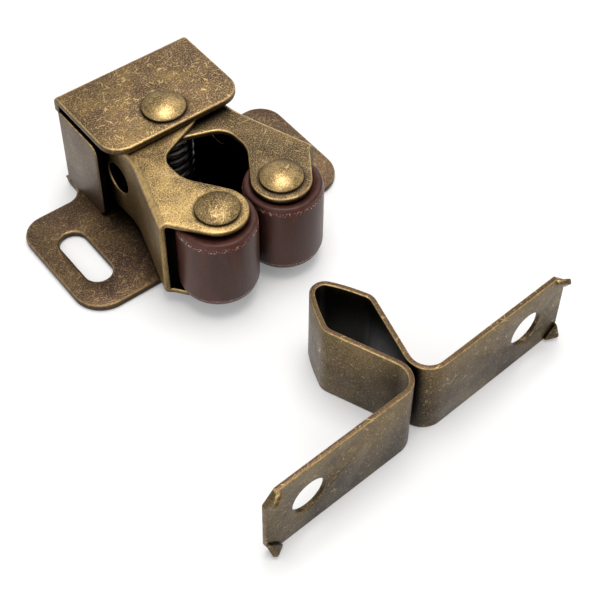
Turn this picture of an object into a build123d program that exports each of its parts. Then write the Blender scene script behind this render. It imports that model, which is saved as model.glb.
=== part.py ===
from build123d import *
from math import acos, atan2, cos, degrees, hypot, pi, radians, sin, sqrt, tan
import os

# A sprung double roller catch and its folded strike, in millimetres.
# The origin is where the pivot rivet's axis meets the underside of the base plate,
# +Z is up, and the rollers and the strike are towards -Y.

# Driving sizes of the two arms
arm_sheet = 0.9
running_gap = 0.05
arm_reach = 21.2
arm_half_width = 9.3
arm_bend_r = 1.2
tail_length = 8.0
tail_flange_width = 5.0
flare_start = 4.4
flare_angle = 19.0
flare_blend_r = 16.0
wall_front = 17.9
wall_hole_r = 2.5
wall_hole_y = -0.3
lobe_r = 4.45
front_corner_r = 1.4
pivot_lobe_r = 4.75
notch_half_width = 5.78
notch_side_angle = 34.4
notch_rear_angle = 21.5
notch_front_r = 5.0
notch_rear_r = 3.1
front_lip = 0.95
rest_swing = 1.8
opening_angle = 15.0

# Driving sizes of the rollers
roller_r = 5.95
roller_length = 12.45
roller_gap = 0.1
roller_shift = 0.3
roller_bore_play = 0.05
roller_end_play = 0.45
left_roller_lift = 0.05
right_roller_lift = 0.3
roller_rim_r = 0.45
roller_dish_depth = 0.3
roller_dish_margin = 1.5

# Driving sizes of the folded housing
plate_sheet = 1.2
side_room = 1.2
tail_room = 0.55
top_front = 4.2
top_corner_r = 3.6
ear_half_span = 23.65
ear_front = 14.5
ear_rear = 7.1
ear_front_corner_r = 4.8
ear_rear_corner_r = 4.0
ear_root_r = 2.6
slot_x = 18.15
slot_y = -4.0
slot_centres = 6.9
slot_width = 4.3
fold_r = 1.3
flap_front = 0.85
flap_relief = 1.4
flap_base_gap = 0.1
flap_corner_r = 1.6

# Driving sizes of the rivets and the spring
pivot_r = 2.0
pivot_head_r = 3.35
pivot_tail_r = 3.1
pivot_tail_depth = 0.6
roller_pin_r = 1.6
roller_head_r = 3.25
roller_tail_r = 2.6
roller_tail_height = 0.6
head_rim = 0.35
head_dome = 1.15
rivet_fit = 0.03
wire_r = 0.7
coil_r = 3.35
coil_turns = 5
coil_end_gap = 0.1
leg_angle = 40.0
leg_gap = 0.15

# Driving sizes of the strike, a strip folded on edge
strip_sheet = 0.8
strip_height = 13.25
strike_half_length = 27.5
strike_bow = 0.35
neck_half_gap = 0.23
neck_bend_r = 3.45
leg_lean = 18.4
shoulder_rise = 14.82
shoulder_r = 1.55
nose_rise = 22.02
nose_r = 1.4
head_bulge = 0.35
head_bulge_r = 22.0
screw_hole_x = 20.2
screw_hole_r = 2.8
tooth_fold = 2.0
tooth_angle = 45.0
tooth_tip_r = 0.35
strike_x = 0.88
strike_y = -58.52
strike_turn = 4.2

# Working margins: how near an edge is when it is picked, how far a cut runs past a sheet
pick_margin = 0.1
cut_margin = 1.0

# Levels and widths that follow
arm_height = roller_length + roller_end_play + 2 * arm_sheet
right_arm_z = plate_sheet + running_gap
left_arm_z = right_arm_z + arm_sheet + running_gap
top_under = left_arm_z + arm_height + running_gap
top_z = top_under + plate_sheet
body_half_width = arm_half_width + side_room + plate_sheet
tail_swing = atan2(tail_length, arm_half_width) + radians(opening_angle + rest_swing)
rear_y = hypot(arm_half_width, tail_length) * sin(tail_swing) + tail_room + plate_sheet
roller_x = roller_r + roller_gap / 2
pin_x = roller_x - roller_shift
roller_y = -sqrt(arm_reach**2 - pin_x**2)


def on_circle(centre, radius, angle):
    return (centre[0] + radius * cos(radians(angle)), centre[1] + radius * sin(radians(angle)))


def tangent_point(point, centre, radius, side):
    reach = (point[0] - centre[0], point[1] - centre[1])
    spread = degrees(acos(radius / hypot(*reach)))
    return on_circle(centre, radius, degrees(atan2(reach[1], reach[0])) + side * spread)


# The arms: one stamping used twice, once turned over, each a channel round its roller.
# The plan of its flanges has a lobe at the pivot, a lobe at the roller, and a notch
# between them that leaves room for the strike's head.
pivot = (0, 0)
pin_centre = (-pin_x, roller_y)
wall_front_x = -arm_half_width - (wall_front - flare_start) * tan(radians(flare_angle))
front_corner = (wall_front_x + front_lip, -wall_front)
lobe_front = tangent_point(front_corner, pin_centre, lobe_r, 1)
lobe_inner = on_circle(pin_centre, lobe_r, notch_side_angle)
lobe_rear = on_circle(pivot, pivot_lobe_r, notch_rear_angle - 90)
notch_front_y = lobe_inner[1] + (notch_half_width + lobe_inner[0]) / tan(radians(notch_side_angle))
notch_rear_y = lobe_rear[1] - (lobe_rear[0] + notch_half_width) * tan(radians(notch_rear_angle))
tail_inner = (tail_flange_width - arm_half_width, tail_length)
lobe_tail = tangent_point(tail_inner, pivot, pivot_lobe_r, -1)

with BuildSketch() as flange_plan:
    with BuildLine():
        FilletPolyline(
            (-arm_half_width, tail_length),
            (-arm_half_width, -flare_start),
            (wall_front_x, -wall_front),
            front_corner,
            lobe_front,
            pin_centre,
            lobe_inner,
            (-notch_half_width, notch_front_y),
            (-notch_half_width, notch_rear_y),
            lobe_rear,
            pivot,
            lobe_tail,
            tail_inner,
            radius=[0, flare_blend_r, 0, front_corner_r, 0, 0, 0, notch_front_r, notch_rear_r, 0, 0, 0, 0],
            close=True,
        )
    make_face()
    with Locations(pin_centre):
        Circle(lobe_r)
    with Locations(pivot):
        Circle(pivot_lobe_r)

with BuildSketch() as wall_plan:
    with BuildLine():
        FilletPolyline(
            (-arm_half_width, tail_length),
            (-arm_half_width, -flare_start),
            (wall_front_x, -wall_front),
            radius=flare_blend_r,
        )
        offset(amount=arm_sheet, side=Side.LEFT)
    make_face()


def on_wall(edge, level, reach):
    middle = edge @ 0.5
    return abs(middle.Z - level) < pick_margin and middle.X < -reach and middle.Y > pick_margin - wall_front


with BuildPart() as stamping:
    extrude(flange_plan.sketch, arm_height)
    with BuildSketch(Plane.XY.offset(arm_sheet)):
        add(flange_plan.sketch)
        add(wall_plan.sketch, mode=Mode.SUBTRACT)
    extrude(amount=arm_height - 2 * arm_sheet, mode=Mode.SUBTRACT)
    for level in (0, arm_height):
        outer_bend = stamping.edges().filter_by(lambda e: on_wall(e, level, arm_half_width - pick_margin))
        fillet(outer_bend, arm_bend_r)
    inner_reach = arm_half_width - arm_sheet - pick_margin
    for level in (arm_sheet, arm_height - arm_sheet):
        inner_bend = stamping.edges().filter_by(lambda e: on_wall(e, level, inner_reach))
        fillet(inner_bend, arm_bend_r - arm_sheet)
    with Locations(Location((0, 0, arm_height))):
        Hole(pivot_r + running_gap)
    with Locations(Location((*pin_centre, arm_height))):
        Hole(roller_pin_r + rivet_fit)
    with BuildSketch(Plane.YZ.offset(-arm_half_width - cut_margin)):
        with Locations((wall_hole_y, arm_height / 2)):
            Circle(wall_hole_r)
    extrude(amount=arm_sheet + 2 * cut_margin, mode=Mode.SUBTRACT)

with BuildPart() as left_arm:
    with Locations(Location((0, 0, left_arm_z), (0, 0, rest_swing))):
        add(stamping.part)

turned_over = mirror(stamping.part, about=Plane.YZ, mode=Mode.PRIVATE)
with BuildPart() as right_arm:
    with Locations(Location((0, 0, right_arm_z), (0, 0, rest_swing))):
        add(turned_over)

# The housing: one folded sheet of base plate with ears, rear wall, top plate and two
# side flaps that are bent forwards from the rear wall and stand free of the base.
with BuildPart() as housing:
    with BuildSketch(Plane.YZ):
        with BuildLine():
            FilletPolyline(
                (-ear_front, 0),
                (rear_y, 0),
                (rear_y, top_z),
                (-top_front, top_z),
                radius=fold_r,
            )
            offset(amount=plate_sheet, side=Side.LEFT)
        make_face()
    extrude(amount=body_half_width, both=True)
    top_corners = housing.edges().filter_by(Axis.Z).group_by(Axis.Z)[-1].group_by(Axis.Y)[0]
    fillet(top_corners, top_corner_r)
    with BuildSketch():
        with BuildLine():
            FilletPolyline(
                (-ear_half_span, -ear_front),
                (ear_half_span, -ear_front),
                (ear_half_span, ear_rear),
                (body_half_width, ear_rear),
                (body_half_width, rear_y - fold_r),
                (-body_half_width, rear_y - fold_r),
                (-body_half_width, ear_rear),
                (-ear_half_span, ear_rear),
                radius=[
                    ear_front_corner_r,
                    ear_front_corner_r,
                    ear_rear_corner_r,
                    ear_root_r,
                    0,
                    0,
                    ear_root_r,
                    ear_rear_corner_r,
                ],
                close=True,
            )
        make_face()
        with Locations((-slot_x, slot_y), (slot_x, slot_y)):
            SlotCenterToCenter(slot_centres, slot_width, rotation=90, mode=Mode.SUBTRACT)
    extrude(amount=plate_sheet)
    flap_z = plate_sheet + flap_base_gap
    flap_height = top_under - flap_relief - flap_z
    with BuildSketch(Plane.XY.offset(flap_z)):
        for side in (-1, 1):
            with Locations((side * (body_half_width - fold_r / 2), rear_y - fold_r / 2)):
                Rectangle(fold_r, fold_r)
    extrude(amount=flap_height, mode=Mode.SUBTRACT)
    with BuildSketch(Plane.XY.offset(flap_z)):
        with BuildLine():
            FilletPolyline(
                (-body_half_width, flap_front),
                (-body_half_width, rear_y),
                (body_half_width, rear_y),
                (body_half_width, flap_front),
                radius=fold_r,
            )
            offset(amount=plate_sheet, side=Side.RIGHT)
        make_face()
    extrude(amount=flap_height)
    flap_reach = (flap_front - pick_margin, flap_front + pick_margin)
    flap_ends = housing.edges().filter_by(Axis.X).filter_by_position(Axis.Y, *flap_reach)
    fillet(flap_ends, flap_corner_r)
    with Locations(Location((0, 0, top_z))):
        Hole(pivot_r + rivet_fit)
    with Locations((0, 0, 0)):
        Cone(
            pivot_tail_r + rivet_fit,
            pivot_r + rivet_fit,
            pivot_tail_depth,
            align=(Align.CENTER, Align.CENTER, Align.MIN),
            mode=Mode.SUBTRACT,
        )

# The rivets: a low dome on a thin rim, a shank and a closed tail.
def rivet_profile(tail_points, shank_r, seat_z, head_r):
    rim_z = seat_z + head_rim
    dome_r = (head_r**2 + head_dome**2) / (2 * head_dome)
    rim_angle = degrees(acos(head_r / dome_r))
    Polyline(*tail_points, (shank_r, seat_z), (head_r, seat_z), (head_r, rim_z))
    CenterArc((0, rim_z + head_dome - dome_r), dome_r, rim_angle, 90 - rim_angle)
    Line((0, rim_z + head_dome), tail_points[0])


with BuildPart() as pivot_rivet:
    with BuildSketch(Plane.XZ):
        with BuildLine():
            flush_tail = [(0, 0), (pivot_tail_r, 0), (pivot_r, pivot_tail_depth)]
            rivet_profile(flush_tail, pivot_r, top_z, pivot_head_r)
        make_face()
    revolve(axis=Axis.Z)

with BuildPart() as roller_rivet:
    with BuildSketch(Plane.XZ):
        with BuildLine():
            closed_tail = [
                (0, -roller_tail_height),
                (roller_tail_r - roller_tail_height / 2, -roller_tail_height),
                (roller_tail_r, -roller_tail_height / 2),
                (roller_tail_r, 0),
                (roller_pin_r, 0),
            ]
            rivet_profile(closed_tail, roller_pin_r, arm_height, roller_head_r)
        make_face()
    revolve(axis=Axis.Z)

# The rollers: turned plastic, rounded at both rims and dished round the bore.
with BuildPart() as roller:
    bore_r = roller_pin_r + roller_shift + roller_bore_play
    dish_r = roller_r - roller_dish_margin
    with BuildSketch(Plane.XZ):
        with BuildLine():
            FilletPolyline(
                (bore_r, roller_dish_depth),
                (dish_r, roller_dish_depth),
                (dish_r + roller_dish_depth, 0),
                (roller_r, 0),
                (roller_r, roller_length),
                (dish_r + roller_dish_depth, roller_length),
                (dish_r, roller_length - roller_dish_depth),
                (bore_r, roller_length - roller_dish_depth),
                radius=[0, 0, 0, roller_rim_r, roller_rim_r, 0, 0, 0],
                close=True,
            )
        make_face()
    revolve(axis=Axis.Z)


def on_arm(x, level):
    swung = Location((0, 0, 0), (0, 0, rest_swing))
    return swung * Location((x, roller_y, level))


with BuildPart() as left_roller_rivet:
    with Locations(on_arm(-pin_x, left_arm_z)):
        add(roller_rivet.part)

with BuildPart() as right_roller_rivet:
    with Locations(on_arm(pin_x, right_arm_z)):
        add(roller_rivet.part)

with BuildPart() as left_roller:
    with Locations(on_arm(-roller_x, left_arm_z + arm_sheet + left_roller_lift)):
        add(roller.part)

with BuildPart() as right_roller:
    with Locations(on_arm(roller_x, right_arm_z + arm_sheet + right_roller_lift)):
        add(roller.part)

# The torsion spring: close turns round the pivot, and two legs that lie on the tails.
coil_floor = left_arm_z + arm_sheet + wire_r + coil_end_gap
coil_ceiling = right_arm_z + arm_height - arm_sheet - wire_r - coil_end_gap
leg_span = arm_half_width - arm_sheet - leg_gap - (coil_r + wire_r) * cos(radians(leg_angle))
leg_length = leg_span / sin(radians(leg_angle))
turns = coil_turns + (180 - 2 * leg_angle) / 360
pitch = (coil_ceiling - coil_floor) / (turns + leg_length / (pi * coil_r))
leg_rise = leg_length * pitch / (2 * pi * coil_r)
last_angle = 360 * turns
coil_height = pitch * turns
coil_end = on_circle(pivot, coil_r, last_angle)
leg_run = on_circle(coil_end, leg_length, last_angle + 90)

with BuildPart() as coil:
    with BuildLine() as wire_line:
        Line((coil_r, -leg_length, -leg_rise), (coil_r, 0, 0))
        Helix(pitch, coil_height, coil_r)
        Line((*coil_end, coil_height), (*leg_run, coil_height + leg_rise))
    with BuildSketch(Plane(wire_line.line @ 0, z_dir=wire_line.line % 0)):
        Circle(wire_r)
    sweep(path=wire_line.line, is_frenet=True)

with BuildPart() as torsion_spring:
    coil_turn = 180 + leg_angle + rest_swing
    with Locations(Location((0, 0, coil_floor + leg_rise), (0, 0, coil_turn))):
        add(coil.part)

# The strike: a strip that stands on edge, folded into a head on a narrow neck, with a
# screw hole in each arm and its four corners turned over to bite into the door.
bow = radians(strike_bow)
lean = radians(leg_lean)
bend_x = neck_half_gap + neck_bend_r
bend_y = (neck_bend_r + bend_x * sin(bow)) / cos(bow)
leg_x = bend_x - neck_bend_r * cos(lean)
leg_y = bend_y + neck_bend_r * sin(lean)
leg_back = (leg_y - leg_x * tan(bow)) / (cos(lean) - sin(lean) * tan(bow))
neck_x = leg_x - leg_back * sin(lean)
shoulder_x = leg_x + (shoulder_rise - leg_y) * tan(lean)
arm_end_y = strike_half_length * tan(bow)
cheek = hypot(shoulder_x, nose_rise - shoulder_rise)
cheek_x = shoulder_x / 2 + head_bulge * (nose_rise - shoulder_rise) / cheek
cheek_y = (shoulder_rise + nose_rise) / 2 + head_bulge * shoulder_x / cheek

with BuildPart() as strip:
    with BuildSketch():
        with BuildLine():
            FilletPolyline(
                (strike_half_length, arm_end_y),
                (neck_x, neck_x * tan(bow)),
                (shoulder_x, shoulder_rise),
                (cheek_x, cheek_y),
                (0, nose_rise),
                (-cheek_x, cheek_y),
                radius=[neck_bend_r, shoulder_r, head_bulge_r, nose_r],
            )
            offset(amount=strip_sheet, side=Side.RIGHT)
        make_face()
        split(bisect_by=Plane.YZ)
        mirror(about=Plane.YZ)
    extrude(amount=strip_height)
    end_corners = strip.edges().filter_by(
        lambda e: abs((e @ 0.5).X) > strike_half_length - pick_margin and e.length < strip_sheet + pick_margin
    )
    chamfer(end_corners, tooth_fold)
    half_fold = tooth_fold / sqrt(2)
    mitre = strip_sheet * tan(radians(tooth_angle / 2))
    for side in (-1, 1):
        along = Vector(side * cos(bow), sin(bow), 0)
        into_door = Vector(side * sin(bow), -cos(bow), 0)
        arm_end = Vector(side * strike_half_length, arm_end_y, 0)
        for level, up in ((0, Vector(0, 0, -1)), (strip_height, Vector(0, 0, 1))):
            fold_middle = arm_end + Vector(0, 0, level) - (along + up) * (tooth_fold / 2)
            outwards = (along + up).normalized()
            tip = outwards * cos(radians(tooth_angle)) + into_door * sin(radians(tooth_angle))
            fold_line = into_door.cross(outwards)
            with BuildSketch(Plane(fold_middle, x_dir=fold_line, z_dir=fold_line.cross(tip))):
                with BuildLine():
                    FilletPolyline(
                        (-half_fold, -mitre),
                        (half_fold, -mitre),
                        (half_fold, 0),
                        (0, half_fold),
                        (-half_fold, 0),
                        radius=[0, 0, 0, tooth_tip_r, 0],
                        close=True,
                    )
                make_face()
            extrude(amount=-strip_sheet)
    for side in (-1, 1):
        middle = Vector(side * screw_hole_x * cos(bow), screw_hole_x * sin(bow), strip_height / 2)
        across = Vector(-side * sin(bow), cos(bow), 0)
        with BuildSketch(Plane(middle - across * cut_margin, z_dir=across)):
            Circle(screw_hole_r)
        extrude(amount=strip_sheet + 2 * cut_margin, mode=Mode.SUBTRACT)

with BuildPart() as strike:
    with Locations(Location((strike_x, strike_y, 0), (0, 0, strike_turn))):
        add(strip.part)

os.makedirs("parts", exist_ok=True)
pieces = {
    "housing": housing,
    "pivot_rivet": pivot_rivet,
    "torsion_spring": torsion_spring,
    "left_arm": left_arm,
    "right_arm": right_arm,
    "left_roller_rivet": left_roller_rivet,
    "right_roller_rivet": right_roller_rivet,
    "left_roller": left_roller,
    "right_roller": right_roller,
    "strike": strike,
}
for name, piece in pieces.items():
    piece.part.label = name
    export_step(piece.part, f"parts/{name}.step")
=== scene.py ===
from math import cos, pi, radians, sin

import bpy
from mathutils import Matrix, Quaternion, Vector


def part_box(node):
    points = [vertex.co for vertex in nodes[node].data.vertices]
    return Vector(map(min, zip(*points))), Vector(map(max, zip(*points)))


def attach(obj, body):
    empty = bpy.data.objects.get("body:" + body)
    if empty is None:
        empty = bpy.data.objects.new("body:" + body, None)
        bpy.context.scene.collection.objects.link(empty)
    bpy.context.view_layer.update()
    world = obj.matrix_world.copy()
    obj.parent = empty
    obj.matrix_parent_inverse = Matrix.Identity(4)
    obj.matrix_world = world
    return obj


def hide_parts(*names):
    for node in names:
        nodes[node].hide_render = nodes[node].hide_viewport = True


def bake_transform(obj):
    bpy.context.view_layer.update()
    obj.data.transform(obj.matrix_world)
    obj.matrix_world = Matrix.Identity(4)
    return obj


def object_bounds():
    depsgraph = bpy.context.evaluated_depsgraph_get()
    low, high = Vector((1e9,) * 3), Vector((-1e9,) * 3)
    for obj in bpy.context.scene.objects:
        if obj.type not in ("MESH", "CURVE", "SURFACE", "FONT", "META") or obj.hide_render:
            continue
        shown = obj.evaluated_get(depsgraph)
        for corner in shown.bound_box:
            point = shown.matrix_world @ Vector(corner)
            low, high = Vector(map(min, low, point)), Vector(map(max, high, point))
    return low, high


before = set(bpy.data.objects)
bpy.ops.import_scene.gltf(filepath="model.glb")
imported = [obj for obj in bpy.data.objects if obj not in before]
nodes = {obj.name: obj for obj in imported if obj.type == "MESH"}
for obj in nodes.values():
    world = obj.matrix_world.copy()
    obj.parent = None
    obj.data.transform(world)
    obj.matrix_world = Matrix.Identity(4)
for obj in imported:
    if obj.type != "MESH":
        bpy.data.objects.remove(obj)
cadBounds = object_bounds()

print("stage: frame loaded")


def deselectAll():
    if bpy.context.object and bpy.context.object.mode != "OBJECT":
        bpy.ops.object.mode_set(mode="OBJECT")
    bpy.ops.object.select_all(action="DESELECT")


def pick(piece):
    deselectAll()
    piece.select_set(True)
    bpy.context.view_layer.objects.active = piece


# Short forms for the shader nodes. A value may be a number or another node's output.

def addNode(tree, kind, values=None, **settings):
    made = tree.nodes.new("ShaderNode" + kind)
    for key, value in settings.items():
        setattr(made, key, value)
    for socket, value in (values or {}).items():
        made.inputs[socket].default_value = value
    return made


def join(tree, source, target):
    tree.links.new(source, target)


def maths(tree, operation, first, second=None):
    made = addNode(tree, "Math", operation=operation)
    for socket, value in zip(made.inputs, (first, second)):
        if isinstance(value, (int, float)):
            socket.default_value = value
        elif value is not None:
            join(tree, value, socket)
    return made.outputs[0]


def times(tree, *values):
    product = values[0]
    for value in values[1:]:
        product = maths(tree, "MULTIPLY", product, value)
    return product


def larger(tree, first, second):
    return maths(tree, "MAXIMUM", first, second)


def size(tree, value):
    return maths(tree, "ABSOLUTE", value)


def axes(tree, vector):
    made = addNode(tree, "SeparateXYZ")
    join(tree, vector, made.inputs[0])
    return made.outputs


def spread(tree, value, low, high, to=(0.0, 1.0)):
    made = addNode(tree, "MapRange", {1: low, 2: high, 3: to[0], 4: to[1]})
    join(tree, value, made.inputs[0])
    return made.outputs[0]


def above(tree, value, level, blur=0.0001):
    return spread(tree, value, level, level + blur)


def below(tree, value, level, blur=0.0001):
    return spread(tree, value, level + blur, level)


def mixColours(tree, share, first, second):
    made = addNode(tree, "Mix", data_type="RGBA")
    for socket, value in ((made.inputs[0], share), (made.inputs[6], first), (made.inputs[7], second)):
        if isinstance(value, (tuple, float, int)):
            socket.default_value = (*value, 1) if isinstance(value, tuple) else value
        else:
            join(tree, value, socket)
    return made.outputs[2]


def noise(tree, coords, scale, detail=3.0, rough=0.55, distort=0.0):
    values = {"Scale": scale, "Detail": detail, "Roughness": rough, "Distortion": distort}
    made = addNode(tree, "TexNoise", values)
    join(tree, coords, made.inputs["Vector"])
    return made.outputs["Fac"]


def turned(tree, coords, turn, stretch):
    made = addNode(tree, "Mapping", {"Rotation": turn, "Scale": stretch})
    join(tree, coords, made.inputs["Vector"])
    return made.outputs["Vector"]


# Camera, lamps and floor.

cameraPlace = {
    "eye": (-0.078208, -0.132381, 0.158216),
    "aim": (0.002407, -0.029849, 0.00065),
    "roll": 0.661,      # degrees
    "lens": 83.79,
    "sensor": 36,
}
cameraData = bpy.data.cameras.new("camera")
cameraData.lens = cameraPlace["lens"]
cameraData.sensor_width = cameraPlace["sensor"]
cameraData.sensor_fit = "HORIZONTAL"
camera = bpy.data.objects.new("camera", cameraData)
bpy.context.scene.collection.objects.link(camera)
camera.location = cameraPlace["eye"]
gaze = Vector(cameraPlace["aim"]) - Vector(cameraPlace["eye"])
roll = Quaternion((0, 0, 1), radians(cameraPlace["roll"]))
camera.rotation_mode = "QUATERNION"
camera.rotation_quaternion = gaze.to_track_quat("-Z", "Y") @ roll
bpy.context.scene.camera = camera
bpy.context.scene.view_settings.view_transform = "Standard"

lamps = {
    "overheadBox": {"place": (0.03, -0.02, 0.42), "size": 0.24, "power": 1.05, "tint": (1.0, 0.985, 0.96)},
    "rearBox": {"place": (0.26, 0.20, 0.30), "size": 0.26, "power": 0.25, "tint": (1.0, 0.99, 0.97)},
    "leftFill": {"place": (-0.34, -0.16, 0.20), "size": 0.26, "power": 0.25, "tint": (0.97, 0.98, 1.0)},
}
lampAim = Vector((0.0, -0.028, 0.006))
for lampName, lamp in lamps.items():
    lampData = bpy.data.lights.new(lampName, "AREA")
    lampData.size = lamp["size"]
    lampData.energy = lamp["power"]
    lampData.color = lamp["tint"]
    lampObject = bpy.data.objects.new(lampName, lampData)
    bpy.context.scene.collection.objects.link(lampObject)
    lampObject.location = lamp["place"]
    lampObject.rotation_mode = "QUATERNION"
    lampObject.rotation_quaternion = (lampAim - Vector(lamp["place"])).to_track_quat("-Z", "Y")

worldLook = {"colour": (1, 1, 1), "level": 0.6}
world = bpy.data.worlds.new("studioWorld")
bpy.context.scene.world = world
world.use_nodes = True
backdrop = world.node_tree.nodes["Background"]
backdrop.inputs["Color"].default_value = (*worldLook["colour"], 1)
backdrop.inputs["Strength"].default_value = worldLook["level"]

floorLook = {
    "half": 1.2,
    "colour": (0.80, 0.80, 0.80),
    "rough": 0.9,
    "specular": 0.1,
    "glow": 0.17,       # only for what the camera sees directly, mirrored or through glass
}
deselectAll()
bpy.ops.mesh.primitive_plane_add(size=2 * floorLook["half"], location=(0, 0, cadBounds[0][2]))
floor = bpy.context.object
floor.name = "floor"
bpy.ops.object.transform_apply(location=True)
floorPaint = bpy.data.materials.new("floorPaint")
floorPaint.use_nodes = True
floorTree = floorPaint.node_tree
floorShader = floorTree.nodes["Principled BSDF"]
floorShader.inputs["Base Color"].default_value = (*floorLook["colour"], 1)
floorShader.inputs["Roughness"].default_value = floorLook["rough"]
floorShader.inputs["Specular IOR Level"].default_value = floorLook["specular"]
floorShader.inputs["Emission Color"].default_value = (1, 1, 1, 1)
rays = addNode(floorTree, "LightPath").outputs
floorSeen = larger(floorTree, rays["Is Camera Ray"], rays["Is Transmission Ray"])
floorSeen = larger(floorTree, floorSeen, rays["Is Glossy Ray"])
floorGlow = times(floorTree, floorSeen, floorLook["glow"])
join(floorTree, floorGlow, floorShader.inputs["Emission Strength"])
floor.data.materials.append(floorPaint)
print("stage: camera, lamps and floor")


# Bronze. Each layer is mixed over the one before: patches, gold clouds, grain and pits, scratches,
# edges gold from wear and from a painted highlight, painted shade on upright faces, and last the painted
# shade: black insides, a dark ring round rivet heads and darkening in recesses. Ranges are where a pattern
# starts and ends.

bronzeBase = {
    "dark": (0.090, 0.054, 0.033),
    "mid": (0.188, 0.120, 0.054),
    "gold": (0.435, 0.285, 0.105),
    "bright": (0.840, 0.600, 0.255),
    "deep": (0.033, 0.021, 0.013),
    "edge": (0.900, 0.620, 0.265),
    "hollow": (0.004, 0.003, 0.003),
    # painted shade: upright faces take this darker colour
    "side": (0.068, 0.045, 0.024),
    "sideAmount": 0.0,
    "sideRange": (0.75, 0.25),
    "patchScale": 130,
    "patchRange": (0.38, 0.62),
    "cloudScale": 300,
    "cloudRange": (0.45, 0.72),
    "goldAmount": 0.5,
    "grainScale": 4300,
    "grainRange": (0.505, 0.69),
    "grainAmount": 0.55,
    "pitRange": (0.485, 0.33),
    "pitAmount": 0.65,
    "scratchKinds": (       # scale, width, turn
        (430, 0.032, (0, 0, 0)),
        (900, 0.045, (0.4, 0.9, 0.7)),
    ),
    "scratchBend": 0.0016,
    "bendScale": 0.3,           # share of the scratches' own scale, and so is the next
    "areaScale": 1.7,
    "scratchCore": 0.25,        # share of the width that is bright throughout
    "scratchFrom": 0.66,
    "scratchSoft": 0.04,
    "scratchDensity": 0.03,
    "scratchAmount": 0.6,
    "dashTurns": (0.5, 2.2),
    "dashTilt": (0.2, 0.1),
    "dashScale": 5200,
    "dashStretch": (1.0, 12, 1.5),
    "dashFrom": 0.76,
    "dashSoft": 0.04,
    "dashDensity": 0.0,
    # edges and bends: gold partly for rubbed wear, partly as a painted highlight
    "edgeWidth": 0.00040,
    "edgeSamples": 6,
    "edgeRange": (0.995, 0.95),
    "edgeAmount": 0.78,
    "rollRange": (0.985, 0.88),
    "rollTo": 0.25,
    "rollSoft": 0.3,
    "rollAmount": 1.0,
    "rollAbove": 0.0,
    "wornScale": 1600,
    "wornRange": (0.34, 0.60),
    "wornLeast": 0.25,
    "fade": 0.0,            # more gold towards the top
    "fadeRange": (0.0050, 0.0128),
    "bandAbove": 0.0,       # the strip's cut face on top is darker than its sides
    "bandRange": (0.93, 0.98),
    "walls": None,          # painted shade and reflection: upright faces turned a darker grey, apart from the cut edges
    "inside": None,         # painted shade: inner faces of a channel, and the inner half of the hole's bore, turned black
    "hidden": None,         # painted shade: the housing's inside turned black, between these faces and levels
    "head": None,           # painted shadow round a rivet head's foot on the plate: X, Y and radius
    "headShadeRange": (0.00050, 0.00015),
    "headShadeAmount": 0.75,
    # painted shade: colour darkens towards the hollow colour where ambient occlusion finds recesses and
    # nearby parts
    "hollowReach": 0.006,
    "hollowSamples": 12,
    "hollowRange": (0.12, 0.62),
    "hollowShade": 0.03,
    "hollowLocal": False,
    "bump": 0.45,
    "bumpDepth": 0.00006,
    "bumpGrain": 0.6,
    "bumpScratch": 0.5,
    "rough": 0.42,
    "roughSwing": (0.08, -0.06),
    "roughRange": (0.35, 0.65),
    "metal": 1.0,
}


def scratches(tree, coords, look, scale, width):
    bent = addNode(tree, "TexNoise", {"Scale": scale * look["bendScale"], "Detail": 1.0})
    join(tree, coords, bent.inputs["Vector"])
    wander = addNode(tree, "VectorMath", {3: look["scratchBend"]}, operation="SCALE")
    join(tree, bent.outputs["Color"], wander.inputs[0])
    moved = addNode(tree, "VectorMath", operation="ADD")
    join(tree, coords, moved.inputs[0])
    join(tree, wander.outputs[0], moved.inputs[1])
    cells = addNode(tree, "TexVoronoi", {"Scale": scale}, feature="DISTANCE_TO_EDGE")
    join(tree, moved.outputs[0], cells.inputs["Vector"])
    line = spread(tree, cells.outputs["Distance"], width, width * look["scratchCore"])
    areas = noise(tree, coords, scale * look["areaScale"], detail=1.0)
    areas = above(tree, areas, look["scratchFrom"] - look["scratchDensity"], look["scratchSoft"])
    return times(tree, line, areas)


def dashes(tree, coords, look, turn):
    values = {"Rotation": (*look["dashTilt"], turn), "Scale": look["dashStretch"]}
    along = addNode(tree, "Mapping", values, vector_type="TEXTURE")
    join(tree, coords, along.inputs["Vector"])
    specks = noise(tree, along.outputs["Vector"], look["dashScale"], detail=0.0)
    return above(tree, specks, look["dashFrom"] - look["dashDensity"], look["dashSoft"])


def scratchLines(tree, coords, look):
    lines = 0.0
    for scale, width, turn in look["scratchKinds"]:
        laid = turned(tree, coords, turn, (1, 1, 1))
        lines = larger(tree, lines, scratches(tree, laid, look, scale, width))
    for turn in look["dashTurns"]:
        lines = larger(tree, lines, dashes(tree, coords, look, turn))
    return times(tree, lines, look["scratchAmount"])


def within(tree, coords, keep, centre, outer, inner):
    gap = addNode(tree, "VectorMath", {1: centre}, operation="DISTANCE")
    join(tree, turned(tree, coords, (0, 0, 0), keep), gap.inputs[0])
    return spread(tree, gap.outputs["Value"], outer, inner)


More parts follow.
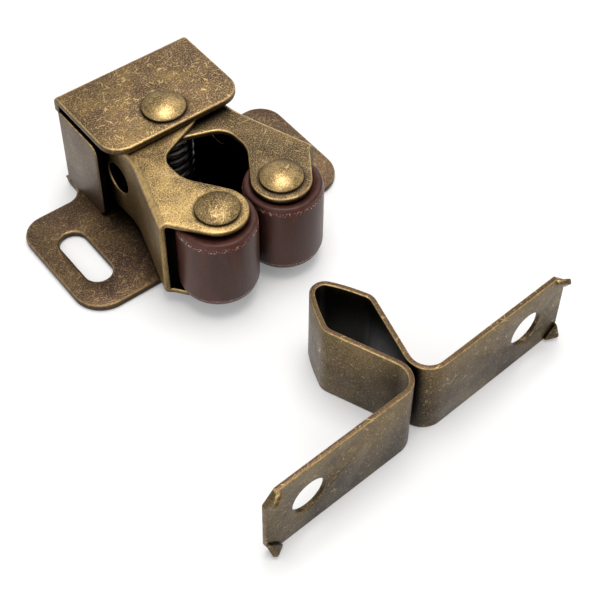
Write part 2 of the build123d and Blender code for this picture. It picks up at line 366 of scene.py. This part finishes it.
# gold on sharp edges and on the rolled part between a flat top and a wall: partly rubbed wear, partly a
# painted highlight
def wornAndLitEdges(tree, coords, look, flat, rounded):
    place = axes(tree, coords)
    normal = axes(tree, flat)
    facing = addNode(tree, "VectorMath", operation="DOT_PRODUCT")
    join(tree, rounded, facing.inputs[0])
    join(tree, flat, facing.inputs[1])
    edge = spread(tree, facing.outputs["Value"], *look["edgeRange"])
    rolled = spread(tree, normal["Z"], *look["rollRange"])
    rolled = times(tree, rolled, above(tree, normal["Z"], look["rollTo"], look["rollSoft"]))
    if look["rollAbove"]:
        rolled = times(tree, rolled, above(tree, place["Z"], look["rollAbove"]))
    edge = larger(tree, edge, times(tree, rolled, look["rollAmount"]))
    rubbed = noise(tree, coords, look["wornScale"], detail=4.0, rough=0.7)
    rubbed = spread(tree, rubbed, *look["wornRange"], to=(look["wornLeast"], 1.0))
    return times(tree, edge, rubbed, look["edgeAmount"])


# painted shade: where a channel's inner faces and the inner half of its hole's bore turn black
def channelInside(tree, coords, flat, inside):
    place = axes(tree, coords)
    normal = axes(tree, flat)
    between = times(
        tree,
        above(tree, place["Z"], inside["low"], inside["blur"]),
        below(tree, place["Z"], inside["high"], inside["blur"]),
    )
    facesIn = spread(tree, times(tree, normal["X"], inside["way"]), *inside["inwards"])
    level = spread(tree, size(tree, normal["Z"]), *inside["level"])
    inner = times(tree, between, larger(tree, facesIn, level))
    bore = within(tree, coords, (0, 1, 1), inside["hole"], *inside["holeRange"])
    bore = times(tree, bore, above(tree, times(tree, place["X"], inside["way"]), inside["wall"]))
    return larger(tree, inner, bore)


def housingInside(tree, coords, hidden):
    place = axes(tree, coords)
    return times(
        tree,
        below(tree, size(tree, place["X"]), hidden["across"]),
        below(tree, place["Y"], hidden["rear"]),
        below(tree, place["Z"], hidden["high"]),
        above(tree, place["Z"], hidden["low"]),
    )


def bronze(name, look):
    material = bpy.data.materials.new(name)
    material.use_nodes = True
    tree = material.node_tree
    shader = tree.nodes["Principled BSDF"]
    coords = addNode(tree, "TexCoord").outputs["Object"]
    flat = addNode(tree, "NewGeometry").outputs["Normal"]
    place = axes(tree, coords)
    normal = axes(tree, flat)

    patches = noise(tree, coords, look["patchScale"], detail=5.0, rough=0.6, distort=0.4)
    clouds = noise(tree, coords, look["cloudScale"], detail=3.0, rough=0.6)
    grains = noise(tree, coords, look["grainScale"], detail=2.0, rough=0.7)
    colour = mixColours(tree, spread(tree, patches, *look["patchRange"]), look["dark"], look["mid"])
    goldShare = times(tree, spread(tree, clouds, *look["cloudRange"]), look["goldAmount"])
    colour = mixColours(tree, goldShare, colour, look["gold"])
    if look["fade"]:
        fade = spread(tree, place["Z"], *look["fadeRange"], to=(0.0, look["fade"]))
        colour = mixColours(tree, fade, colour, look["gold"])
    if look["bandAbove"]:
        band = above(tree, place["Z"], look["bandAbove"])
        band = times(tree, band, spread(tree, normal["Z"], *look["bandRange"]))
        colour = mixColours(tree, band, colour, look["band"])
    grainShare = times(tree, spread(tree, grains, *look["grainRange"]), look["grainAmount"])
    colour = mixColours(tree, grainShare, colour, look["bright"])
    pitShare = times(tree, spread(tree, grains, *look["pitRange"]), look["pitAmount"])
    colour = mixColours(tree, pitShare, colour, look["deep"])
    lines = scratchLines(tree, coords, look)
    colour = mixColours(tree, lines, colour, look["bright"])

    rounded = addNode(tree, "Bevel", {"Radius": look["edgeWidth"]}, samples=look["edgeSamples"])
    rounded = rounded.outputs[0]
    # rubbed wear and painted highlight: gold along edges and bends
    colour = mixColours(tree, wornAndLitEdges(tree, coords, look, flat, rounded), colour, look["edge"])
    # painted shade: upright faces darker than flat ones; on the housing only its cut edges
    side = spread(tree, size(tree, normal["Z"]), *look["sideRange"])
    if look["walls"]:
        walls = look["walls"]
        cutEdge = larger(
            tree,
            below(tree, place["Z"], walls["low"], walls["blur"]),
            above(tree, place["Z"], walls["high"], walls["blur"]),
        )
        # painted shade and reflection: upright faces get the walls' darker, greyer colour away from the cut
        # edges
        face = times(tree, side, maths(tree, "SUBTRACT", 1.0, cutEdge), walls["amount"])
        colour = mixColours(tree, face, colour, walls["colour"])
        side = times(tree, side, cutEdge)
        foot = times(tree, below(tree, place["Z"], walls["foot"], walls["footBlur"]), walls["footShade"])
        colour = mixColours(tree, foot, colour, look["dark"])
    colour = mixColours(tree, times(tree, side, look["sideAmount"]), colour, look["side"])
    # painted shade: black inside the arms' channels and inside the housing
    if look["inside"]:
        colour = mixColours(tree, channelInside(tree, coords, flat, look["inside"]), colour, look["hollow"])
    if look["hidden"]:
        colour = mixColours(tree, housingInside(tree, coords, look["hidden"]), colour, look["hollow"])
    # painted shadow: a dark ring on the plate round the rivet head's foot
    if look["head"]:
        x, y, radius = look["head"]
        outer, inner = look["headShadeRange"]
        headShade = within(tree, coords, (1, 1, 0), (x, y, 0), radius + outer, radius + inner)
        colour = mixColours(tree, times(tree, headShade, look["headShadeAmount"]), colour, look["deep"])
    # painted shade: recesses and gaps between parts darken towards the hollow colour
    hollow = addNode(
        tree,
        "AmbientOcclusion",
        {"Distance": look["hollowReach"]},
        samples=look["hollowSamples"],
        only_local=look["hollowLocal"],
    )
    shade = spread(tree, hollow.outputs["AO"], *look["hollowRange"], to=(look["hollowShade"], 1.0))
    colour = mixColours(tree, shade, look["hollow"], colour)
    join(tree, colour, shader.inputs["Base Color"])

    bump = addNode(tree, "Bump", {"Strength": look["bump"], "Distance": look["bumpDepth"]})
    raised = times(tree, grains, look["bumpGrain"])
    cut = times(tree, lines, look["bumpScratch"])
    join(tree, maths(tree, "SUBTRACT", raised, cut), bump.inputs["Height"])
    join(tree, rounded, bump.inputs["Normal"])
    join(tree, bump.outputs[0], shader.inputs["Normal"])
    roughest, smoothest = (look["rough"] + swing for swing in look["roughSwing"])
    rough = spread(tree, patches, *look["roughRange"], to=(roughest, smoothest))
    join(tree, rough, shader.inputs["Roughness"])
    shader.inputs["Metallic"].default_value = look["metal"]
    return material


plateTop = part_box("housing")[1].z
housingLook = {
    **bronzeBase,
    "dark": (0.084, 0.050, 0.041),
    "mid": (0.176, 0.112, 0.064),
    "patchScale": 110,
    "cloudScale": 170,
    "grainAmount": 0.5,
    "scratchDensity": 0.035,
    "dashTurns": (0.4, 1.3, 2.0, 2.8),
    "dashDensity": 0.004,
    "walls": {
        "colour": (0.128, 0.105, 0.087),
        "amount": 0.78,
        "low": 0.0008,              # below and above these the cut edges show
        "high": plateTop - 0.0014,
        "blur": 0.0004,
        "foot": 0.003,              # all is darker down there
        "footBlur": 0.003,
        "footShade": 0.5,
    },
    "sideAmount": 0.8,
    "hidden": {
        "across": 0.01145,
        "rear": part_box("housing")[1].y - 0.0006,
        "low": 0.0014,
        "high": plateTop - 0.0011,
    },
    "head": (0.0, 0.0, 0.00335),
    "hollowReach": 0.008,
    "hollowRange": (0.20, 0.66),
}
leftArmLook = {
    **bronzeBase,
    "dark": (0.112, 0.072, 0.042),
    "mid": (0.470, 0.312, 0.131),
    "gold": (0.600, 0.413, 0.158),
    "patchScale": 190,
    "cloudScale": 260,
    "grainScale": 5200,
    "goldAmount": 0.6,
    "grainAmount": 0.7,
    "pitAmount": 0.9,
    "scratchAmount": 0.35,
    "inside": {
        "low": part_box("left_arm")[0].z + 0.00070,
        "high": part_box("left_arm")[1].z - 0.00085,
        "blur": 0.00015,
        "way": 1,                   # inwards is towards +X
        "inwards": (0.05, 0.35),
        "level": (0.80, 0.95),
        "wall": -0.00918,
        "hole": (0, -0.00058, 0.00955),
        "holeRange": (0.0031, 0.0030),
    },
    "head": (-0.005056, -0.020588, 0.00325),
    # painted shade on the upright walls
    "side": (0.060, 0.041, 0.022),
    "sideAmount": 0.55,
    "hollowReach": 0.009,
    "hollowRange": (0.24, 0.66),
}
rightArmLook = {
    **leftArmLook,
    "dark": (0.075, 0.051, 0.036),
    "mid": (0.132, 0.093, 0.054),
    "gold": (0.285, 0.192, 0.084),
    "goldAmount": 0.35,
    "grainAmount": 0.45,
    "inside": {
        **leftArmLook["inside"],
        "low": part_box("right_arm")[0].z + 0.00070,
        "high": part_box("right_arm")[1].z - 0.00085,
        "way": -1,
        "wall": -0.00912,
        "hole": (0, -0.00002, 0.00860),
    },
    "head": (0.006339, -0.020230, 0.00325),
}
rivetLook = {
    **bronzeBase,
    "dark": (0.135, 0.087, 0.045),
    "mid": (0.490, 0.335, 0.147),
    "gold": (0.720, 0.510, 0.210),
    "grainScale": 5000,
    "grainAmount": 0.75,
    "pitAmount": 0.6,
    # painted shade: a dark band on the head's upright rim
    "side": (0.040, 0.026, 0.015),
    "sideAmount": 0.9,
    "edgeWidth": 0.0002,
    "edgeAmount": 0.9,
    "rollAmount": 0.0,
    "rough": 0.38,
}
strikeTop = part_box("strike")[1].z
strikeLook = {
    **bronzeBase,
    "dark": (0.044, 0.032, 0.024),
    "mid": (0.086, 0.065, 0.042),
    "gold": (0.300, 0.210, 0.090),
    "band": (0.105, 0.066, 0.042),
    "bandAbove": strikeTop - 0.0002,
    "cloudScale": 150,
    "goldAmount": 0.35,
    "grainAmount": 0.17,
    "pitAmount": 0.4,
    "scratchAmount": 0.45,
    "dashTurns": (),
    "fade": 0.30,
    "rough": 0.40,
    "edgeWidth": 0.00022,
    "edgeAmount": 0.65,
    "rollAbove": strikeTop - 0.0003,
    # painted shade: strong here, so the loop's inside turns near black
    "hollowReach": 0.014,
    "hollowRange": (0.45, 0.88),
    "hollowLocal": True,
}
wireLook = {
    **bronzeBase,
    "dark": (0.050, 0.046, 0.043),
    "mid": (0.170, 0.160, 0.150),
    "gold": (0.190, 0.175, 0.160),
    "bright": (0.420, 0.390, 0.360),
    "edgeAmount": 0.0,
    "grainAmount": 0.15,
    "pitAmount": 0.2,
    "scratchAmount": 0.0,
    "hollowShade": 0.30,
    "bump": 0.1,
    "rough": 0.26,
}
finishes = {
    "housing": bronze("housingBronze", housingLook),
    "leftArm": bronze("leftArmBronze", leftArmLook),
    "rightArm": bronze("rightArmBronze", rightArmLook),
    "rivet": bronze("rivetBronze", rivetLook),
    "strike": bronze("strikeBronze", strikeLook),
    "wire": bronze("springWire", wireLook),
}
print("stage: finishes")


# Stamped sheets and rivets: a copy of the metal with its sharp edges rolled over.

edgeRolling = {
    "merge": 0.000002,
    "flatWithin": 0.3,      # degrees, as the two below
    "sharpFrom": 42,
    "smoothTo": 50,
    "segments": 3,
}


def nearFold(point, fold):
    inCorner = abs(point.x) > fold["x"] and point.y > fold["y"]
    return inCorner and any(abs(point.z - level) < fold["slack"] for level in fold["levels"])


def rolledPiece(nodeName, rolledOver):
    piece = bpy.data.objects.new(rolledOver["name"], nodes[nodeName].data.copy())
    bpy.context.scene.collection.objects.link(piece)
    pick(piece)
    piece.data.materials.clear()
    piece.data.materials.append(finishes[rolledOver["finish"]])
    bpy.ops.object.mode_set(mode="EDIT")
    bpy.ops.mesh.customdata_custom_splitnormals_clear()
    bpy.ops.mesh.select_all(action="SELECT")
    bpy.ops.mesh.remove_doubles(threshold=edgeRolling["merge"])
    bpy.ops.mesh.dissolve_limited(angle_limit=radians(edgeRolling["flatWithin"]))
    bpy.ops.mesh.select_mode(type="EDGE")
    bpy.ops.mesh.select_all(action="DESELECT")
    bpy.ops.mesh.edges_select_sharp(sharpness=radians(edgeRolling["sharpFrom"]))
    bpy.ops.object.mode_set(mode="OBJECT")
    piece.data.polygons.foreach_set("select", [False] * len(piece.data.polygons))
    for edge in piece.data.edges:
        if edge.select and "leave" in rolledOver:
            ends = [piece.data.vertices[index].co for index in edge.vertices]
            edge.select = not nearFold((ends[0] + ends[1]) / 2, rolledOver["leave"])
    bpy.ops.object.mode_set(mode="EDIT")
    bpy.ops.mesh.bevel(
        offset=rolledOver["roll"],
        segments=edgeRolling["segments"],
        affect="EDGES",
        clamp_overlap=False,
        loop_slide=False,
    )
    bpy.ops.object.mode_set(mode="OBJECT")
    bpy.ops.object.shade_smooth_by_angle(angle=radians(edgeRolling["smoothTo"]))
    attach(piece, rolledOver["body"])
    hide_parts(nodeName)
    print("stage:", rolledOver["name"], len(piece.data.polygons), "faces")


rivetRoll = 0.00015
rolledPieces = {
    "housing": {
        "name": "housing_sheet",
        "body": "housing",
        "slot": "bronzed_housing",
        "finish": "housing",
        "roll": 0.00032,
        "leave": {      # the flaps' tight rear corners stay sharp
            "x": 0.0103,
            "y": 0.0104,
            "levels": (0.0013, 0.01555),
            "slack": 0.0001,
        },
    },
    "left_arm": {
        "name": "left_arm_sheet",
        "body": "left_arm",
        "slot": "bronzed_arm",
        "finish": "leftArm",
        "roll": 0.00028,
    },
    "right_arm": {
        "name": "right_arm_sheet",
        "body": "right_arm",
        "slot": "bronzed_arm",
        "finish": "rightArm",
        "roll": 0.00028,
    },
    "strike": {
        "name": "strike_strip",
        "body": "strike",
        "slot": "bronzed_strike",
        "finish": "strike",
        "roll": 0.00018,
    },
    "pivot_rivet": {
        "name": "pivot_rivet_dome",
        "body": "housing",
        "slot": "bronzed_rivet",
        "finish": "rivet",
        "roll": rivetRoll,
    },
    "left_roller_rivet": {
        "name": "left_rivet_dome",
        "body": "left_arm",
        "slot": "bronzed_rivet",
        "finish": "rivet",
        "roll": rivetRoll,
    },
    "right_roller_rivet": {
        "name": "right_rivet_dome",
        "body": "right_arm",
        "slot": "bronzed_rivet",
        "finish": "rivet",
        "roll": rivetRoll,
    },
}
for nodeName, rolledOver in rolledPieces.items():
    rolledPiece(nodeName, rolledOver)


# Rollers: brown plastic, with a painted highlight of paler red on both rims, painted glints in a row on
# each lip, and painted shade in recesses.

rollerLook = {
    "dark": (0.047, 0.0150, 0.0100),
    "light": (0.077, 0.0260, 0.0170),
    "rim": (0.090, 0.029, 0.019),
    "hollow": (0.004, 0.0015, 0.001),
    "glint": (0.60, 0.48, 0.45),
    "streakScale": 420,
    "streakStretch": (1.0, 1.0, 0.16),
    "streakRange": (0.38, 0.64),
    "speckScale": 5200,
    "speckRange": (0.60, 0.68),
    "rimStart": (0.00005, 0.00025),     # distances from the roller's nearer end
    "rimEnd": (0.0012, 0.0009),
    "lipStart": (0.00055, 0.00075),
    "lipEnd": (0.00125, 0.00105),
    "glintAmount": (0.03, 0.9),          # away from the lip, and on it
    "hollowReach": 0.008,
    "hollowSamples": 12,
    "hollowRange": (0.15, 0.55),
    "bump": 0.3,
    "bumpDepth": 0.00005,
    "bumpSpecks": (0.8, 2.0),           # away from the rims, and on them
    "rough": 0.35,
    "roughSwing": (-0.05, 0.07),
    "roughRange": (0.3, 0.7),
    "ior": 1.33,
}


def plastic(name, look, low, high):
    material = bpy.data.materials.new(name)
    material.use_nodes = True
    tree = material.node_tree
    shader = tree.nodes["Principled BSDF"]
    coords = addNode(tree, "TexCoord").outputs["Object"]
    drawn = turned(tree, coords, (0, 0, 0), look["streakStretch"])
    streaks = noise(tree, drawn, look["streakScale"], detail=3.0, rough=0.6)
    specks = noise(tree, coords, look["speckScale"], detail=1.0, rough=0.6)
    colour = mixColours(tree, spread(tree, streaks, *look["streakRange"]), look["dark"], look["light"])

    level = axes(tree, coords)["Z"]
    fromLow = maths(tree, "SUBTRACT", level, low)
    fromHigh = maths(tree, "SUBTRACT", high, level)
    fromEnd = maths(tree, "MINIMUM", fromLow, fromHigh)
    # painted highlight: the rounded rims a paler red
    rim = times(tree, spread(tree, fromEnd, *look["rimStart"]), spread(tree, fromEnd, *look["rimEnd"]))
    colour = mixColours(tree, rim, colour, look["rim"])
    # painted glints: bright specks in a row on each lip
    lip = times(tree, spread(tree, fromEnd, *look["lipStart"]), spread(tree, fromEnd, *look["lipEnd"]))
    lipGlint = spread(tree, lip, 0.0, 1.0, look["glintAmount"])
    glints = times(tree, spread(tree, specks, *look["speckRange"]), lipGlint)
    colour = mixColours(tree, glints, colour, look["glint"])
    # painted shade: recesses and gaps between parts darken towards the hollow colour
    hollow = addNode(
        tree,
        "AmbientOcclusion",
        {"Distance": look["hollowReach"]},
        samples=look["hollowSamples"],
    )
    shade = spread(tree, hollow.outputs["AO"], *look["hollowRange"])
    colour = mixColours(tree, shade, look["hollow"], colour)
    join(tree, colour, shader.inputs["Base Color"])

    bump = addNode(tree, "Bump", {"Strength": look["bump"], "Distance": look["bumpDepth"]})
    raised = times(tree, specks, spread(tree, rim, 0.0, 1.0, look["bumpSpecks"]))
    join(tree, maths(tree, "ADD", streaks, raised), bump.inputs["Height"])
    join(tree, bump.outputs[0], shader.inputs["Normal"])
    smoothest, roughest = (look["rough"] + swing for swing in look["roughSwing"])
    rough = spread(tree, streaks, *look["roughRange"], to=(smoothest, roughest))
    join(tree, rough, shader.inputs["Roughness"])
    shader.inputs["IOR"].default_value = look["ior"]
    return material


# The rollers are turned ring by ring, from the bore outwards and back.

rollerShape = {
    "sides": 96,
    "bore": 0.00195,
    "dish": 0.00030,
    "rings": [      # radius, and depth from the roller's end
        (0.00445, 0.00030),
        (0.00475, 0.00000),
        (0.00536, 0.00000),
        (0.00556, 0.00006),
        (0.00569, 0.00020),
        (0.00573, 0.00044),
        (0.00576, 0.00060),
        (0.00585, 0.00074),
        (0.00592, 0.00096),
        (0.00595, 0.00130),
    ],
    "smoothTo": 50,     # degrees
}


def turnedRoller(name, nodeName):
    low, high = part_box(nodeName)
    middle = (low + high) / 2
    bore = rollerShape["bore"]
    firstLevel = low.z + rollerShape["dish"]
    lastLevel = high.z - rollerShape["dish"]
    deselectAll()
    bpy.ops.mesh.primitive_circle_add(
        vertices=rollerShape["sides"],
        radius=bore,
        location=(middle.x, middle.y, firstLevel),
    )
    roller = bpy.context.object
    roller.name = name
    bpy.ops.object.transform_apply(location=True)
    lowerRings = [(radius, low.z + depth) for radius, depth in rollerShape["rings"]]
    upperRings = [(radius, high.z - depth) for radius, depth in reversed(rollerShape["rings"])]
    bpy.ops.object.mode_set(mode="EDIT")
    bpy.ops.mesh.select_mode(type="EDGE")
    bpy.ops.mesh.select_all(action="SELECT")
    radius, level = bore, firstLevel
    for nextRadius, nextLevel in lowerRings + upperRings + [(bore, lastLevel)]:
        bpy.ops.mesh.extrude_edges_move(TRANSFORM_OT_translate={"value": (0, 0, nextLevel - level)})
        bpy.ops.transform.resize(
            value=(nextRadius / radius, nextRadius / radius, 1),
            center_override=(middle.x, middle.y, nextLevel),
        )
        radius, level = nextRadius, nextLevel
    bpy.ops.mesh.select_all(action="DESELECT")
    bpy.ops.mesh.select_non_manifold()
    bpy.ops.mesh.bridge_edge_loops()
    bpy.ops.mesh.select_all(action="SELECT")
    bpy.ops.mesh.normals_make_consistent(inside=False)
    bpy.ops.object.mode_set(mode="OBJECT")
    bpy.ops.object.shade_smooth_by_angle(angle=radians(rollerShape["smoothTo"]))
    roller.data.materials.append(plastic(name + "Plastic", rollerLook, low.z, high.z))
    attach(roller, nodeName)
    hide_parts(nodeName)


turnedRoller("leftRollerTurned", "left_roller")
turnedRoller("rightRollerTurned", "right_roller")
print("stage: rollers")


# Torsion spring, in two halves that meet in the middle of the coil. Each half is a ring wound up
# round the pivot, with a straight leg at its outer end that follows its arm.

springSize = {
    "wire": 0.0007,
    "coil": 0.00335,
    "floor": 0.0039,
    "ceiling": 0.01425,
    "turns": 5 + (180 - 80) / 360,      # the 80 is twice the leg's 40
    "leg": 40.0,            # degrees round the coil, from the line across the pivot to where a leg leaves
    "swing": 1.8,           # degrees that both arms are turned by at rest
    "legLength": 0.00788,
    "legSteps": 12,
    "ringSides": 14,
    "turnSteps": 40,
    "slack": 0.000035,      # for finding the ring at the end of the coil
    "smoothTo": 40,         # degrees
}


def springHalf(name, upper):
    coil = springSize["coil"]
    legLength = springSize["legLength"]
    turns = springSize["turns"] / 2
    rise = springSize["ceiling"] - springSize["floor"]
    pitch = rise / (springSize["turns"] + legLength / (pi * coil))
    legRise = legLength * pitch / (2 * pi * coil)
    deselectAll()
    bpy.ops.mesh.primitive_circle_add(
        vertices=springSize["ringSides"],
        radius=springSize["wire"],
        location=(coil, 0, 0),
        rotation=(radians(90), 0, 0),
    )
    half = bpy.context.object
    half.name = name
    bpy.ops.object.transform_apply(location=True, rotation=True)
    wind = half.modifiers.new("wind", "SCREW")
    wind.axis = "Z"
    wind.angle = radians(360 * turns)
    wind.screw_offset = pitch * turns
    wind.iterations = 1
    wind.steps = int(springSize["turnSteps"] * turns)
    wind.render_steps = wind.steps
    wind.use_smooth_shade = True
    bpy.ops.object.modifier_apply(modifier=wind.name)

    # the lower half's leg grows back from its first ring, the upper one's on from its last
    way = 1 if upper else -1
    wound = 360 * turns if upper else 0.0
    climbed = pitch * turns if upper else 0.0
    endAngle = radians(wound)
    endCentre = Vector((cos(endAngle) * coil, sin(endAngle) * coil, climbed))
    along = Vector((-sin(endAngle) * legLength, cos(endAngle) * legLength, legRise)) * way
    bpy.ops.object.mode_set(mode="EDIT")
    bpy.ops.mesh.select_mode(type="VERT")
    bpy.ops.mesh.select_all(action="DESELECT")
    bpy.ops.object.mode_set(mode="OBJECT")
    for vertex in half.data.vertices:
        vertex.select = (vertex.co - endCentre).length < springSize["wire"] + springSize["slack"]
    bpy.ops.object.mode_set(mode="EDIT")
    bpy.ops.mesh.select_mode(type="EDGE")
    for step in range(springSize["legSteps"]):
        bpy.ops.mesh.extrude_region_move(TRANSFORM_OT_translate={"value": along / springSize["legSteps"]})
    bpy.ops.mesh.select_mode(type="VERT")
    bpy.ops.mesh.edge_face_add()
    bpy.ops.mesh.select_all(action="DESELECT")
    bpy.ops.mesh.select_non_manifold()      # the end inside the coil is open still
    bpy.ops.mesh.edge_face_add()
    bpy.ops.mesh.select_all(action="SELECT")
    bpy.ops.mesh.normals_make_consistent(inside=False)
    bpy.ops.object.mode_set(mode="OBJECT")

    lift = springSize["floor"] + legRise + climbed
    turn = radians(180 + springSize["leg"] + springSize["swing"] + wound)
    half.data.transform(Matrix.Translation((0, 0, lift)) @ Matrix.Rotation(turn, 4, "Z"))
    half.data.materials.append(finishes["wire"])
    bpy.ops.object.shade_smooth_by_angle(angle=radians(springSize["smoothTo"]))
    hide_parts("torsion_spring")
    return half


halves = [springHalf("spring_lower", False), springHalf("spring_upper", True)]
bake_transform(halves[0])
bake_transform(halves[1])
print("stage: spring")
